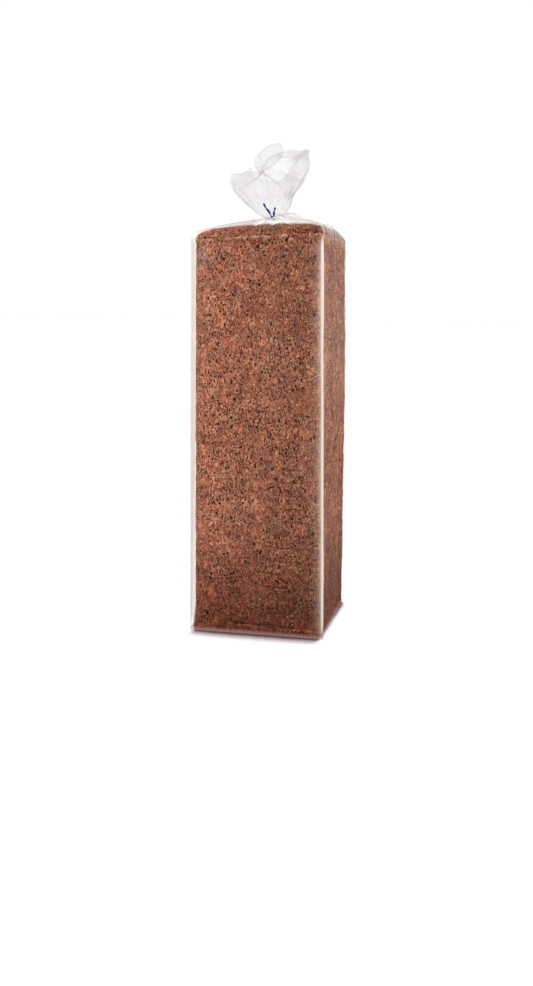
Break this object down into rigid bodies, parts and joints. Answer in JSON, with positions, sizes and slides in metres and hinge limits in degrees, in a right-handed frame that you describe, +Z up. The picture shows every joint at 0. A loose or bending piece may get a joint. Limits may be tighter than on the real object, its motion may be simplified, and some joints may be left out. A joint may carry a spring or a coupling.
{
  "type": "bagged tin loaf",
  "caption": "Dark sliced tin loaf standing on end in a close clear bag, closed at the top by a twist tie below the bag's flared mouth.",
  "frame": {"origin": "middle of the flat lower end that the bagged loaf stands on", "axes": "+Z up, along the loaf to the bag's mouth; -Y out of the front face, the one mainly seen; +X to the right of the front face"},
  "size_m": [0.1208, 0.118, 0.4302],
  "materials": {
    "crust": "matte",
    "film": "gloss",
    "tie": "satin"
  },
  "bodies": {
    "root": {"bagged_loaf": "crust", "twist_tie": "tie"}
  },
  "joints": []
}
